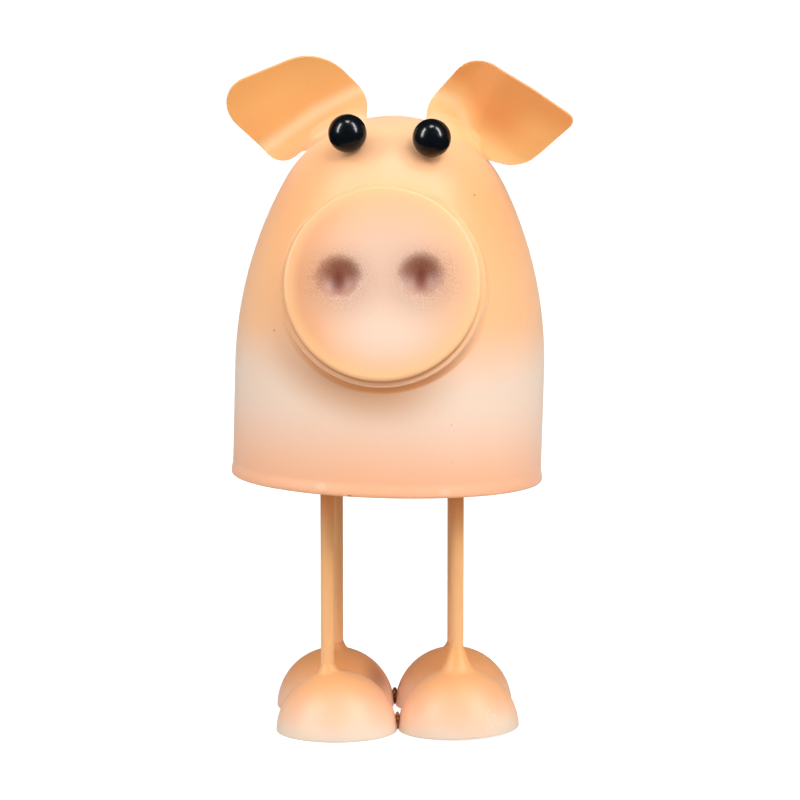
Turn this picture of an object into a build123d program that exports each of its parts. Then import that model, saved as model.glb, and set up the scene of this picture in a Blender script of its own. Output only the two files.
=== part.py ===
from build123d import *
import os
from math import asin, atan2, cos, degrees, pi, radians, sin, sqrt

# Standing pig figurine of painted sheet steel: a domed bell on four rods with half-ball feet.
# Millimetres, +Z up, face towards -Y, origin on the floor in the middle of the whole figure's box.

# Sheet, seams and play
sheet = 1.0  # wall of the bell, the snout, the ears and the feet
seam_gap = 0.2  # root gap of a welded seam
bore_play = 0.15  # radial play of a rod or pin in its hole
overrun = 5.0  # how far a cutter runs past what it cuts
seam_turn = 90.0  # degrees, turns the seam of a spun face away from what is cut into it

# Bell that is body and head in one
shell_radius = 57.7
shell_height = 134.7
dome_radius = 46.0
wall_height = 41.0  # upright part of the wall, below the shoulder
hem_height = 4.0  # rolled edge at the rim
hem_thickness = 2.0
hem_bulge = 0.5  # how far the hem stands out of the wall
hem_round_share = 0.45  # corner radius of the hem, of its thickness
rim_height = 92.1  # rim above the floor
body_shift = -3.5  # the bell stands a little left of its feet
body_lean = 1.55  # degrees, top to the right
body_turn = -3.8  # degrees, face to the left

# Base plate pressed as a shallow pan, its flange up inside the rim
plate_recess = 2.2
plate_thickness = 1.2
plate_flange = 5.0

# Snout: a short tube trimmed to the bell, closed by a pressed lid
snout_radius = 37.1
snout_drop = 59.1  # centre of the snout below the bell's top
collar_step = 1.6  # shortest free length of the tube
lid_brim = 1.5  # flange width of the lid
lid_depth = 5.0
lid_crown = 1.3
lid_round = 1.8  # outer radius of the lid's pressed edge
lid_clearance = 0.7  # between the bottom of a dimple and the bell
brim_round = 0.4
nostril_radius = 6.5
nostril_depth = 3.4
nostril_edge_round = 1.4
nostril_spacing = 29.0
nostril_rise = 2.0  # above the lid's centre
nostril_shift = -0.5
nostril_turn = 3.6  # degrees, right nostril higher
snout_probes = 24  # places around the tube where it is held clear of the bell

# Eyes: glossy balls on pins
eye_radius = 7.0
eye_left_place = (-15.6, 5.6)  # across from the middle, and centre below the bell's top
eye_right_place = (15.1, 6.3)
pin_diameter = 2.0
pin_grip = 5.0  # length of pin inside a ball
pin_tail = 4.0  # length of pin inside the bell

# Ears: leaves of sheet, welded on edge to the dome and bent forward
ear_reach = 63.3  # from the bell's axis to the left ear's tip
ear_rise = 39.4  # from an ear's lowest to its highest point
ear_top = 21.5  # how far the ears stand above the bell
ear_root_angle = 28.0  # degrees from the vertical, seen from the front
ear_root_length = 12.0  # straight sheet before the bend
ear_bend_radius = 14.0
ear_bend_angle = 32.0
ear_forward = 3.0  # root plane in front of the bell's axis
ear_weld_radius = 4.5  # concave weld along the root
ear_weld_edge = 0.4
ear_weld_span = 26.0  # degrees of the dome that the root weld follows
# Corners as shares of the reach and the rise, with the corner radius as a share of the rise
ear_left_shares = [
    (0.168, 0.635, 0.28),
    (0.448, 1.091, 0.457),
    (1.114, 0.622, 0.275),
    (0.670, -0.071, 0.2),
    (0.549, 0.105, 0.025),
    (0.42, 0.13, 0.0),
    (0.30, -0.2, 0.0),
    (0.174, 0.2, 0.0),
]
ear_right_shares = [
    (0.178, 0.586, 0.28),
    (0.447, 1.082, 0.292),
    (0.799, 0.76, 1.0),
    (1.064, 0.476, 0.085),
    (0.742, -0.005, 0.345),
    (0.492, 0.095, 0.0),
    (0.30, -0.2, 0.0),
    (0.179, 0.2, 0.0),
]

# Tail: one curl of wire
tail_wire = 3.0
tail_height = 48.0  # above the rim
tail_stub = 5.0  # straight wire inside the bell
tail_clearance = 1.0  # between the curl and the bell
tail_loop_radius = 6.0  # of the wire's centre line, where the curl starts
tail_tip_radius = 4.5
tail_pitch = 5.5  # sideways step of one turn
tail_quarters = 5  # quarter turns of the curl

# Legs and feet
leg_diameter = 5.0
leg_stand = 2.0  # rod above the base plate
foot_radius = 22.4
foot_gap = 0.56  # between neighbouring feet
foot_turn = 1.52  # degrees, the four feet as a group
# Height above its foot's crown and largest radius of a leg's weld cone
neck_sizes = {
    "front_left": (3.0, 4.0),
    "front_right": (8.5, 6.2),
    "rear_left": (2.5, 3.8),
    "rear_right": (2.5, 3.8),
}
neck_edge = 0.5  # wall of the weld cone at its top
tack_radius = 3.2  # weld between two feet
tack_lift = 0.8  # above the floor
# Offset of a leg from its foot's centre, as a share of the foot's radius
leg_shift_shares = {"front_left": -0.15, "front_right": -0.035, "rear_left": 0.02, "rear_right": 0.0}
foot_tilts = {"front_left": 0.0, "front_right": 2.2, "rear_left": 0.0, "rear_right": 0.0}  # degrees
sides = {"front_left": (-1, -1), "front_right": (1, -1), "rear_left": (-1, 1), "rear_right": (1, 1)}

# Sizes that follow from the ones above
dome_centre = shell_height - dome_radius
dome_rise = dome_centre - wall_height
shoulder_radius = (shell_radius**2 - dome_radius**2 + dome_rise**2) / (2 * (shell_radius - dome_radius))
shoulder_share = dome_rise / (shoulder_radius - dome_radius)
shoulder_top = dome_centre + dome_radius * shoulder_share
snout_height = shell_height - snout_drop
face_radius = snout_radius - lid_brim
foot_pitch = 2 * foot_radius + foot_gap
tail_exit = tail_loop_radius + tail_wire / 2 + tail_clearance  # straight wire outside the bell
body_place = Pos(body_shift, 0, rim_height) * Rot(0, body_lean, 0) * Rot(0, 0, body_turn)


def bell_radius(height):
    """Outer radius of the bell at a height above its rim."""
    if height <= wall_height:
        return shell_radius
    if height < shoulder_top:
        return shell_radius - shoulder_radius + sqrt(shoulder_radius**2 - (height - wall_height) ** 2)
    return sqrt(max(dome_radius**2 - (height - dome_centre) ** 2, 0))


def bell_solid(grow, bottom):
    """Filled bell with its skin moved outwards by grow."""
    wall = shell_radius + grow
    across = sqrt(1 - shoulder_share**2)
    foot = Vector(wall, 0, wall_height)
    reach = dome_radius + grow
    join = Vector(reach * across, 0, dome_centre + reach * shoulder_share)
    top = Vector(0, 0, dome_centre + reach)
    edges = [
        Line((0, 0, bottom), (wall, 0, bottom)),
        Line((wall, 0, bottom), foot),
        TangentArc(foot, join, tangent=(0, 0, 1)),
        TangentArc(join, top, tangent=(-shoulder_share, 0, across)),
        Line(top, (0, 0, bottom)),
    ]
    return revolve(make_face(edges), Axis.Z)


def rod(start, end, diameter):
    """Round bar between two points."""
    start, end = Vector(*start), Vector(*end)
    middle = Plane(origin=(start + end) * 0.5, z_dir=end - start)
    return middle * Cylinder(diameter / 2, (end - start).length)


def nearest_corner(sketch, x, y):
    """Corner of a flat sketch that is closest to a point."""
    return sketch.vertices().sort_by_distance((x, y, 0))[0]


def eye_axis(place):
    """Unit vector from the dome's centre through an eye."""
    reach = dome_radius + seam_gap + eye_radius
    x, drop = place
    z = dome_radius - drop
    y = -sqrt(max(reach**2 - x**2 - z**2, 0))
    return Vector(x, y, z).normalized()


def on_dome(axis, distance):
    """Point at a distance from the dome's centre along an axis."""
    return Vector(0, 0, dome_centre) + axis * distance


def tail_points():
    """Centre line of the curl: place and direction at each quarter turn."""
    start = Vector(0, bell_radius(tail_height) + tail_exit, tail_height)
    stations = []
    for quarter in range(tail_quarters + 1):
        done = quarter / tail_quarters
        radius = tail_loop_radius + (tail_tip_radius - tail_loop_radius) * done
        shrink = (tail_tip_radius - tail_loop_radius) / (tail_quarters * pi / 2)
        turn = quarter * pi / 2
        step = tail_pitch / (2 * pi)
        centre = start + Vector(0, 0, tail_loop_radius)
        place = centre + Vector(step * turn, radius * sin(turn), -radius * cos(turn))
        forward = radius * cos(turn) + shrink * sin(turn)
        upward = radius * sin(turn) - shrink * cos(turn)
        stations.append((place, Vector(step, forward, upward).normalized()))
    stations[0] = (start, Vector(0, 1, 0))
    return stations


def biarc(start, start_way, end, end_way):
    """Two arcs that leave one place and reach another in given directions."""
    chord = end - start
    spread = 2 * (1 - start_way.dot(end_way))
    pull = chord.dot(start_way + end_way)
    reach = (sqrt(pull**2 + spread * chord.dot(chord)) - pull) / spread
    first, second = start + start_way * reach, end - end_way * reach
    join = (first + second) * 0.5
    return [TangentArc(start, join, tangent=start_way), TangentArc(join, end, tangent=second - first)]


def make_body_shell():
    """Spun bell, open at the rim, with its hem and the holes for the eye pins and the tail."""
    shell = bell_solid(0, 0) - bell_solid(-sheet, -overrun)
    hem_middle = shell_radius + hem_bulge - hem_thickness / 2
    hem = RectangleRounded(hem_thickness, hem_height, hem_thickness * hem_round_share)
    shell += revolve(Plane.XZ * Pos(hem_middle, hem_height / 2) * hem, Axis.Z)
    for place in (eye_left_place, eye_right_place):
        axis = eye_axis(place)
        inside, outside = on_dome(axis, dome_radius - sheet - overrun), on_dome(axis, dome_radius + overrun)
        shell -= rod(inside, outside, pin_diameter + 2 * bore_play)
    back = bell_radius(tail_height)
    inside, outside = (0, back - sheet - overrun, tail_height), (0, back + overrun, tail_height)
    return shell - rod(inside, outside, tail_wire + 2 * bore_play)


def make_base_plate():
    """Pan inside the rim, with a hole for each leg, made where it stands."""
    radius = shell_radius + hem_bulge - hem_thickness - seam_gap
    height = plate_thickness + plate_flange
    middle = Pos(0, 0, plate_recess + height / 2)
    hollow = Pos(0, 0, plate_thickness) * Cylinder(radius - plate_thickness, height)
    plate = body_place * (middle * (Cylinder(radius, height) - hollow))
    for name in sides:
        x, y = leg_place(name)
        low, high = rim_height - overrun, rim_height + height + overrun
        plate -= rod((x, y, low), (x, y, high), leg_diameter + 2 * bore_play)
    return plate


def snout_chord():
    """Plane through the bell's profile behind the snout's top and bottom, outwards along its z."""
    low = bell_radius(snout_height - snout_radius)
    high = bell_radius(snout_height + snout_radius)
    tilt = atan2(low - high, 2 * snout_radius)
    return Plane(
        origin=(0, -(low + high) / 2, snout_height),
        x_dir=(1, 0, 0),
        z_dir=(0, -cos(tilt), sin(tilt)),
    )


def bell_bulge(x, y):
    """How far the bell stands out of the snout's chord at a place on it."""
    place = snout_chord().from_local_coords(Vector(x, y, 0))
    skin = sqrt(max(bell_radius(place.Z) ** 2 - place.X**2, 0))
    return (skin + place.Y) * -snout_chord().z_dir.Y


def snout_plane():
    """Plane of the snout tube's free end: tube and dimples stay clear of the bell."""
    stands = []
    for step in range(snout_probes):
        turn = 2 * pi * step / snout_probes
        stands.append(bell_bulge(snout_radius * sin(turn), snout_radius * cos(turn)) + collar_step)
    for x, y in nostril_places():
        underside = lid_height(sqrt(x**2 + y**2)) - nostril_depth - sheet
        stands.append(bell_bulge(x, y) + lid_clearance - underside)
    return snout_chord().offset(max(stands))


def make_snout_collar():
    """Short tube behind the lid, trimmed to the bell."""
    length = snout_radius
    tube = Cylinder(snout_radius, length) - Cylinder(snout_radius - sheet, length)
    return snout_plane() * Pos(0, 0, -length / 2) * tube - bell_solid(seam_gap, 0)


def lid_height(radius):
    """Height of the lid's crowned face above the brim's underside."""
    ball = (face_radius**2 + lid_crown**2) / (2 * lid_crown)
    return lid_depth + lid_crown - ball + sqrt(ball**2 - radius**2)


def lid_solid(inset):
    """Filled lid without its brim, its skin moved inwards by inset."""
    radius = face_radius - inset
    shoulder = lid_depth - inset
    crown = lid_height(0) - inset
    halfway = (radius / 2, lid_height(radius / 2) - inset)
    edges = [
        Line((0, 0), (radius, 0)),
        Line((radius, 0), (radius, shoulder)),
        ThreePointArc((radius, shoulder), halfway, (0, crown)),
        Line((0, crown), (0, 0)),
    ]
    face = make_face(edges)
    face = fillet(nearest_corner(face, radius, shoulder), lid_round - inset / 2)
    return revolve(Plane.XZ * face, Axis.Z)


def nostril_places():
    """Centres of the two nostrils on the lid."""
    turn = radians(nostril_turn)
    for side in (-1, 1):
        reach = side * nostril_spacing / 2
        yield nostril_shift + reach * cos(turn), nostril_rise + reach * sin(turn)


def is_nostril_rim(edge):
    """Whether an edge of the lid is where a nostril meets the face."""
    if edge.geom_type != GeomType.CIRCLE or edge.arc_center.Z < lid_depth:
        return False
    off_middle = Vector(edge.arc_center.X, edge.arc_center.Y).length > sheet
    return off_middle and abs(edge.radius - nostril_radius) < sheet / 2


def make_snout_cap():
    """Pressed lid with a brim and two dimples for nostrils."""
    brim = Pos(0, 0, sheet / 2) * Cylinder(snout_radius, sheet)
    brim = fillet(brim.edges().group_by(Axis.Z)[-1], brim_round)
    ball = (nostril_radius**2 + nostril_depth**2) / (2 * nostril_depth)
    dimples = []
    for x, y in nostril_places():
        dimples.append(Pos(x, y, lid_height(sqrt(x**2 + y**2)) + ball - nostril_depth))
    hollow = Rot(0, 0, seam_turn) * lid_solid(sheet) - [place * Sphere(ball + sheet) for place in dimples]
    cap = Rot(0, 0, seam_turn) * (lid_solid(0) + brim) - hollow
    cap -= [place * Sphere(ball) for place in dimples]
    cap = fillet([edge for edge in cap.edges() if is_nostril_rim(edge)], nostril_edge_round)
    return snout_plane() * cap


def make_eye(place):
    """Ball with a blind hole for its pin."""
    axis = eye_axis(place)
    seat = dome_radius + seam_gap
    ball = Plane(origin=on_dome(axis, seat + eye_radius), z_dir=axis) * Sphere(eye_radius)
    bottom = on_dome(axis, seat + pin_grip + bore_play)
    return ball - rod(on_dome(axis, seat - overrun), bottom, pin_diameter + 2 * bore_play)


def make_eye_pin(place):
    """Pin that holds a ball on the dome."""
    axis = eye_axis(place)
    inner = dome_radius - sheet - pin_tail
    return rod(on_dome(axis, inner), on_dome(axis, dome_radius + seam_gap + pin_grip), pin_diameter)


def ear_plane(side, angle):
    """Plane square to an ear's root: x away from the dome's centre at that angle, y to the front."""
    turn = radians(angle)
    return Plane(
        origin=(0, 0, dome_centre),
        x_dir=(side * sin(turn), 0, cos(turn)),
        z_dir=(cos(turn), 0, -side * sin(turn)),
    )


def ear_section():
    """Bent sheet seen along its fold, x away from the dome's centre and y forward."""
    bend = radians(ear_bend_angle)
    inner, outer = ear_bend_radius - sheet / 2, ear_bend_radius + sheet / 2
    start, fold = dome_radius / 2, dome_radius + ear_root_length
    flap = Vector(cos(bend), sin(bend))
    pivot = Vector(fold, ear_bend_radius)
    near, far = pivot + Vector(sin(bend), -cos(bend)) * inner, pivot + Vector(sin(bend), -cos(bend)) * outer
    edges = [
        Line((start, sheet / 2), (fold, sheet / 2)),
        TangentArc((fold, sheet / 2), near, tangent=(1, 0)),
        Line(near, near + flap * ear_reach),
        Line(near + flap * ear_reach, far + flap * ear_reach),
        Line(far + flap * ear_reach, far),
        TangentArc((fold, -sheet / 2), far, tangent=(1, 0)),
        Line((fold, -sheet / 2), (start, -sheet / 2)),
        Line((start, -sheet / 2), (start, sheet / 2)),
    ]
    return make_face(edges)


def ear_outline(side, shares):
    """Ear seen from the front, as a filleted polygon on the XZ plane."""
    low = shell_height + ear_top - ear_rise
    points = [(side * x * ear_reach, low + z * ear_rise) for x, z, _ in shares]
    outline = make_face(Polyline(*points, close=True))
    for (x, z), (_, _, round_share) in zip(points, shares):
        if round_share > 0:
            outline = fillet(nearest_corner(outline, x, z), round_share * ear_rise)
    return Plane.XZ * outline


def ear_weld(side):
    """Concave weld on both faces of the sheet, following the dome along the ear's root."""
    start = dome_radius + seam_gap + ear_weld_edge
    half = sheet / 2 + ear_weld_radius
    top = start + ear_weld_radius
    deep = dome_radius - overrun
    edges = [
        Line((deep, -half), (start, -half)),
        TangentArc((start, -half), (top, -sheet / 2), tangent=(0, 1)),
        Line((top, -sheet / 2), (top, sheet / 2)),
        TangentArc((start, half), (top, sheet / 2), tangent=(0, -1)),
        Line((start, half), (deep, half)),
        Line((deep, half), (deep, -half)),
    ]
    spine = Axis((0, 0, dome_centre), (0, side, 0))
    start_plane = ear_plane(side, ear_root_angle - ear_weld_span / 2)
    return revolve(start_plane * make_face(edges), spine, ear_weld_span)


def make_ear(side, shares):
    """Leaf of sheet with its root weld, trimmed to the dome."""
    sheet_band = extrude(ear_plane(side, ear_root_angle) * ear_section(), ear_reach, both=True)
    outline = extrude(ear_outline(side, shares), ear_reach, both=True)
    ear = (sheet_band + ear_weld(side)) & outline
    return Pos(0, -ear_forward, 0) * ear - bell_solid(seam_gap, 0)


def make_tail():
    """Curl of wire, straight where it passes the bell and at its tip."""
    stations = tail_points()
    start, end = stations[0], stations[-1]
    inner = Vector(0, bell_radius(tail_height) - sheet - tail_stub, tail_height)
    tip = end[0] + end[1] * tail_wire
    edges = [Line(inner, start[0])]
    for (place, way), (next_place, next_way) in zip(stations, stations[1:]):
        edges += biarc(place, way, next_place, next_way)
    edges.append(Line(end[0], tip))
    path = Wire(edges)
    tube = sweep(Plane(origin=inner, z_dir=(0, 1, 0)) * Circle(tail_wire / 2), path=path)
    report_tail(path, tube)
    return tube


def report_tail(path, tube):
    """Print the curl's least gap to itself and its volume against section times length."""
    steps = int(path.length)
    points = [path.position_at(step / steps) for step in range(steps + 1)]
    apart = 2 * tail_loop_radius
    gaps = [
        (first - second).length - tail_wire
        for place, first in enumerate(points)
        for second in points[place + int(steps * apart / path.length) :]
    ]
    share = tube.volume / (pi * tail_wire**2 / 4 * path.length)
    print(f"tail: length {path.length:.1f}, least gap to itself {min(gaps):.2f}, volume share {share:.4f}")


def foot_centre(name):
    """Centre of a foot's ball: a tilted foot stands on one side of its rim."""
    side, end = sides[name]
    turn = radians(foot_turn)
    x, y = side * foot_pitch / 2, end * foot_pitch / 2
    lift = foot_radius * sin(radians(abs(foot_tilts[name])))
    return Vector(x * cos(turn) - y * sin(turn), x * sin(turn) + y * cos(turn), lift)


def leg_place(name):
    """Axis of a leg on the floor."""
    centre = foot_centre(name)
    return centre.X + leg_shift_shares[name] * foot_radius, centre.Y


def make_leg(name):
    """Round rod from the crown of its foot through the base plate."""
    x, y = leg_place(name)
    low = foot_centre(name).Z + foot_radius - sheet
    high = rim_height + plate_recess + plate_thickness + leg_stand
    return rod((x, y, low), (x, y, high), leg_diameter)


def make_neck(name):
    """Weld cone with hollow flanks around the foot of a leg."""
    x, y = leg_place(name)
    crown = foot_centre(name).Z + foot_radius
    neck_height, neck_radius = neck_sizes[name]
    top_radius = leg_diameter / 2 + bore_play + neck_edge
    low = crown - foot_radius / 2
    edges = [
        Line((0, low), (neck_radius, low)),
        Line((neck_radius, low), (neck_radius, crown - sheet)),
        TangentArc((top_radius, crown + neck_height), (neck_radius, crown - sheet), tangent=(0, -1)),
        Line((top_radius, crown + neck_height), (0, crown + neck_height)),
        Line((0, crown + neck_height), (0, low)),
    ]
    return Pos(x, y, 0) * revolve(Plane.XZ * make_face(edges), Axis.Z)


def make_foot(name):
    """Hollow half ball with its weld cone and the hole for its leg."""
    centre = foot_centre(name)
    place = Pos(*centre) * Rot(0, -foot_tilts[name], 0)
    above = Pos(0, 0, foot_radius) * Box(4 * foot_radius, 4 * foot_radius, 2 * foot_radius)
    foot = place * (Sphere(foot_radius) & above) + make_neck(name)
    foot -= place * Sphere(foot_radius - sheet)
    x, y = leg_place(name)
    crown = centre.Z + foot_radius
    top = crown + neck_sizes[name][0]
    return foot - rod((x, y, crown - sheet - overrun), (x, y, top + overrun), leg_diameter + 2 * bore_play)


def make_tack(first, second):
    """Weld that fills the corner between two feet, just above the floor."""
    one, two = foot_centre(first), foot_centre(second)
    middle = (one + two) * 0.5
    across = Rot(0, 0, degrees(atan2(two.Y - one.Y, two.X - one.X)) + seam_turn)
    bead = Pos(middle.X, middle.Y, tack_lift + tack_radius) * across * Sphere(tack_radius)
    for centre in (one, two):
        bead -= Pos(*centre) * across * Sphere(foot_radius + seam_gap)
    return bead


def make_parts():
    """Every piece where it stands, by name."""
    parts = {
        "body_shell": body_place * make_body_shell(),
        "base_plate": make_base_plate(),
        "snout_collar": body_place * make_snout_collar(),
        "snout_cap": body_place * make_snout_cap(),
        "ear_left": body_place * make_ear(-1, ear_left_shares),
        "ear_right": body_place * make_ear(1, ear_right_shares),
        "tail": body_place * make_tail(),
    }
    for hand, place in (("left", eye_left_place), ("right", eye_right_place)):
        parts[f"eye_{hand}"] = body_place * make_eye(place)
        parts[f"eye_pin_{hand}"] = body_place * make_eye_pin(place)
    for name in sides:
        parts[f"leg_{name}"] = make_leg(name)
        parts[f"foot_{name}"] = make_foot(name)
    for end in ("front", "rear"):
        parts[f"foot_tack_{end}"] = make_tack(f"{end}_left", f"{end}_right")
    for hand in ("left", "right"):
        parts[f"foot_tack_{hand}"] = make_tack(f"front_{hand}", f"rear_{hand}")
    return parts


parts = make_parts()
box = Compound([solid for piece in parts.values() for solid in piece.solids()]).bounding_box()
home = Pos(-box.center().X, -box.center().Y, -box.min.Z)
print(f"origin moved by {-box.center().X:.4f} {-box.center().Y:.4f} {-box.min.Z:.4f}, box {box.size}")
os.makedirs("parts", exist_ok=True)
for name, piece in parts.items():
    export_step(home * piece, f"parts/{name}.step")
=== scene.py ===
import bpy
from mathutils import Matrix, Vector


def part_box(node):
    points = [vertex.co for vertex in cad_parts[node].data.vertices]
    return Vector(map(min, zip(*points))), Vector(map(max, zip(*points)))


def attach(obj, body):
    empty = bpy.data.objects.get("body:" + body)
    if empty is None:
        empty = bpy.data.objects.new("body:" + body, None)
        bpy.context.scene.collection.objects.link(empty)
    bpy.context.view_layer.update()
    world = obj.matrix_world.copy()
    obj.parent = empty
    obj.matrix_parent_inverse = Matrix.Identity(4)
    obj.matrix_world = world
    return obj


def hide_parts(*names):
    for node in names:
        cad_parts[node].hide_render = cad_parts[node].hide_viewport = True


bl_info = {
    "name": "Pig Figurine",
    "version": (1, 0, 0),
    "blender": (4, 5, 0),
    "location": "3D View > Sidebar > Pig Figurine",
    "description": "Models and paints a welded sheet metal pig around its packed frame",
    "category": "Object",
}

from math import acos, asin, atan2, cos, pi, radians, sin, sqrt, tan

import bpy
from bpy.props import FloatProperty, FloatVectorProperty, IntProperty, PointerProperty
from mathutils import Matrix, Vector

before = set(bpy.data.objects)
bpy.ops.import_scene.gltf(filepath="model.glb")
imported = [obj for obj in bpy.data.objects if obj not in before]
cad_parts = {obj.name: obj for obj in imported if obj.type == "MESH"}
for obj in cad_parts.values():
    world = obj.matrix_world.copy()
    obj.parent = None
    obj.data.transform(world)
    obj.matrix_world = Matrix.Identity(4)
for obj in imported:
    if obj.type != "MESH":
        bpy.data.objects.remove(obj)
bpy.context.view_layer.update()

FEET = ("front_left", "front_right", "rear_left", "rear_right")
SIDES = {"left": -1, "right": 1}

# Steps round the eyes, the legs, the snout's tube and the tail's wire
EYE_STEPS, LEG_STEPS, TUBE_STEPS, WIRE_STEPS = 64, 40, 96, 20


# Sizes and settings


def length(name, description, default):
    """A size in metres that the sidebar shows."""
    return FloatProperty(name=name, description=description, default=default, unit="LENGTH", precision=5)


def angle(name, description, default):
    """An angle that the sidebar shows in degrees."""
    return FloatProperty(name=name, description=description, default=radians(default), unit="ROTATION")


def tone(code):
    """A paint tone as it looks on a screen, turned into the renderer's linear values."""
    shown = [int(code[place : place + 2], 16) / 255 for place in (0, 2, 4)]
    return [value / 12.92 if value < 0.04045 else ((value + 0.055) / 1.055) ** 2.4 for value in shown]


def colour(name, description, code):
    """A paint colour that the sidebar shows."""
    shown = tone(code)
    return FloatVectorProperty(name=name, description=description, default=shown, subtype="COLOR", size=3)


def power(name, description, default):
    """A light's power in watts that the sidebar shows."""
    return FloatProperty(name=name, description=description, default=default, unit="POWER")


def number(name, description, default):
    """A plain number that the sidebar shows."""
    return FloatProperty(name=name, description=description, default=default)


class BellSizes(bpy.types.PropertyGroup):
    """Sizes of the bell that is body and head in one."""

    radius: length("Radius", "Radius of the upright wall", 0.0577)
    height: length("Height", "Height from the rim to the top", 0.1347)
    dome: length("Dome radius", "Radius of the head's dome", 0.046)
    wall: length("Wall height", "Upright part of the wall above the rim", 0.041)
    sheet: length("Sheet", "Thickness of the sheet metal", 0.001)
    hem: length("Hem height", "Height of the rolled edge at the rim", 0.004)
    hem_bulge: length("Hem bulge", "How far the rolled edge stands out of the wall", 0.0005)
    rim: length("Rim height", "Height of the rim above the floor", 0.0921)
    shift: length("Shift", "How far the bell stands left of its feet", 0.0035)
    lean: angle("Lean", "Lean of the bell, top to the right", 1.55)
    turn: angle("Turn", "Turn of the face to the left", 3.8)
    steps: IntProperty(name="Steps", description="Steps of the spun bell", default=192)


class SnoutSizes(bpy.types.PropertyGroup):
    """Sizes of the snout's tube and pressed lid."""

    radius: length("Radius", "Radius of the tube and the lid's brim", 0.0371)
    drop: length("Drop", "Centre of the snout below the bell's top", 0.0591)
    stand: length("Stand", "Underside of the brim in front of the bell's chord", 0.002192)
    brim: length("Brim", "Width of the lid's brim", 0.0015)
    depth: length("Depth", "Height of the lid's edge above the brim's underside", 0.00499)
    crown: length("Crown", "Rise of the lid's middle above its edge", 0.0013)
    edge_round: length("Edge round", "Radius of the lid's pressed edge", 0.0018)
    weld: length("Weld", "Size of the weld between the tube and the bell", 0.0012)
    nostril_depth: length("Nostril depth", "Depth of a nostril", 0.0034)
    nostril_radius: length("Nostril radius", "Radius of a nostril's dimple", 0.0072)
    nostril_reach: length("Nostril reach", "Radius over which the sheet around it gives way", 0.0105)
    nostril_spacing: length("Nostril spacing", "Distance between the nostrils", 0.029)
    nostril_rise: length("Nostril rise", "Height of the nostrils above the lid's middle", 0.002)
    nostril_shift: length("Nostril shift", "Shift of the nostrils to the left", 0.0005)
    nostril_turn: angle("Nostril turn", "How much higher the right nostril is", 3.6)


class EarSizes(bpy.types.PropertyGroup):
    """Sizes of the two bent ears."""

    reach: length("Reach", "From the bell's axis to the left ear's tip", 0.0633)
    rise: length("Rise", "From an ear's lowest to its highest point", 0.0394)
    top: length("Top", "How far the ears stand above the bell", 0.0215)
    root_angle: angle("Root angle", "Angle of the root from the vertical", 28)
    bend_angle: angle("Bend angle", "How far the flap is bent forward", 31)
    lean_back: angle("Lean back", "How far the root leans back just before the bend", 14)
    bend_start: length("Bend start", "Where the bend starts before the fold line", 0.0025)
    bend_end: length("Bend end", "Where the bend ends beyond the fold line", 0.005)
    cup: number("Cup", "How much the flap's ends curl forward", 3.2)
    forward: length("Forward", "Root in front of the bell's axis", 0.003)
    weld: length("Weld", "Radius of the hollow weld along the root", 0.0045)
    weld_span: length("Weld span", "Half the length of the root's weld", 0.0103)
    edge_round: length("Edge round", "Rounding of the sheet's edge", 0.00035)


class EyeSizes(bpy.types.PropertyGroup):
    """Sizes and places of the two balls."""

    radius: length("Radius", "Radius of a ball", 0.007)
    gap: length("Gap", "Gap between a ball and the dome", 0.0002)
    hole: length("Hole", "Radius of the hole for the pin", 0.00115)
    grip: length("Grip", "Depth of the hole for the pin", 0.00515)
    left_across: length("Left eye across", "Left eye from the middle", -0.0156)
    left_drop: length("Left eye drop", "Left eye below the bell's top", 0.0056)
    right_across: length("Right eye across", "Right eye from the middle", 0.0151)
    right_drop: length("Right eye drop", "Right eye below the bell's top", 0.0063)


class LegSizes(bpy.types.PropertyGroup):
    """Sizes of the legs, the feet and the tail."""

    rod: length("Rod", "Radius of a leg", 0.0025)
    foot: length("Foot radius", "Radius of a half-ball foot", 0.0224)
    sheet: length("Sheet", "Thickness of a foot's sheet", 0.001)
    rim_round: length("Rim round", "Rounding of a foot's rim", 0.00035)
    foot_steps: IntProperty(name="Foot steps", description="Steps of a spun foot", default=96)
    wire: length("Tail wire", "Radius of the tail's wire", 0.0015)
    loop: length("Tail loop", "Radius of the curl where it starts", 0.006)
    tip_loop: length("Tail tip loop", "Radius of the curl at its tip", 0.0045)
    pitch: length("Tail pitch", "Sideways step of one turn", 0.0055)
    tail_height: length("Tail height", "Height of the tail above the rim", 0.048)


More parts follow.
